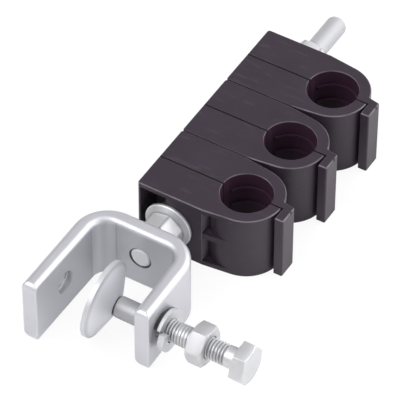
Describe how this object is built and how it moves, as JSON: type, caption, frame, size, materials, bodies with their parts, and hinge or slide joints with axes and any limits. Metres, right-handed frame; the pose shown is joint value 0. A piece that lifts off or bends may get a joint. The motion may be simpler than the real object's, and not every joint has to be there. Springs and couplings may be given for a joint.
{
  "type": "coaxial cable hanger",
  "caption": "Row of split plastic cable clamps on a threaded rod, carried by a C bracket whose hex bolt and coned disc grip a tower member.",
  "frame": {"origin": "middle of the middle cable bore, at half the height of the clamps", "axes": "+Z along the cables, +Y along the rod away from the bracket, +X from the rod towards the round noses of the clamps"},
  "size_m": [0.1019, 0.227, 0.0366],
  "materials": {
    "black_plastic": "fine moulded satin",
    "satin_steel": "satin, bead blasted",
    "bright_steel": "bright, as rolled"
  },
  "bodies": {
    "bracket": {"c_bracket": "satin_steel", "rod": "bright_steel", "lock_washer": "bright_steel"},
    "front_nut": {"front_flange_nut": "bright_steel"},
    "row": {"front_half_1": "black_plastic"},
    "pair_1": {"rear_half_1": "black_plastic", "front_half_2": "black_plastic"},
    "pair_2": {"rear_half_2": "black_plastic", "front_half_3": "black_plastic"},
    "end_half": {"rear_half_3": "black_plastic"},
    "rear_nut": {"rear_flange_nut": "bright_steel"},
    "disc": {"pressure_disc": "satin_steel"},
    "bolt": {"clamp_bolt": "bright_steel"},
    "check_nut": {"lock_nut": "bright_steel"}
  },
  "joints": [
    {"name": "front_nut_travel", "type": "slide", "parent": "bracket", "child": "front_nut", "axis": [0, -1, 0], "range_m": [0, 0.0044]},
    {"name": "row_swivel", "type": "hinge", "parent": "bracket", "child": "row", "pos_m": [-0.0282, -0.05725, 0], "axis": [0, 1, 0], "continuous": true},
    {"name": "open_1", "type": "slide", "parent": "row", "child": "pair_1", "axis": [0, 1, 0], "range_m": [0, 0.008]},
    {"name": "open_2", "type": "slide", "parent": "pair_1", "child": "pair_2", "axis": [0, 1, 0], "range_m": [0, 0.0081]},
    {"name": "open_3", "type": "slide", "parent": "pair_2", "child": "end_half", "axis": [0, 1, 0], "range_m": [0, 0.0081]},
    {"name": "rear_nut_spin", "type": "hinge", "parent": "end_half", "child": "rear_nut", "pos_m": [-0.0282, 0.0573, 0], "axis": [0, 1, 0], "range_deg": [0, 5765]},
    {"name": "jaw_travel", "type": "slide", "parent": "bracket", "child": "disc", "axis": [1, 0, 0], "range_m": [-0.0135, 0.013]},
    {"name": "bolt_spin", "type": "hinge", "parent": "disc", "child": "bolt", "pos_m": [0.0393, -0.11065, 0], "axis": [1, 0, 0], "range_deg": [-3245, 3125]},
    {"name": "check_nut_travel", "type": "slide", "parent": "bracket", "child": "check_nut", "axis": [1, 0, 0], "range_m": [-0.0094, 0]}
  ],
  "couplings": [
    {"joint": "open_2", "follows": "open_1", "ratio": 1},
    {"joint": "open_3", "follows": "open_1", "ratio": 1},
    {"joint": "rear_nut_spin", "follows": "open_1", "rad_per_m": 12566},
    {"joint": "bolt_spin", "follows": "jaw_travel", "rad_per_m": 4188.8}
  ]
}
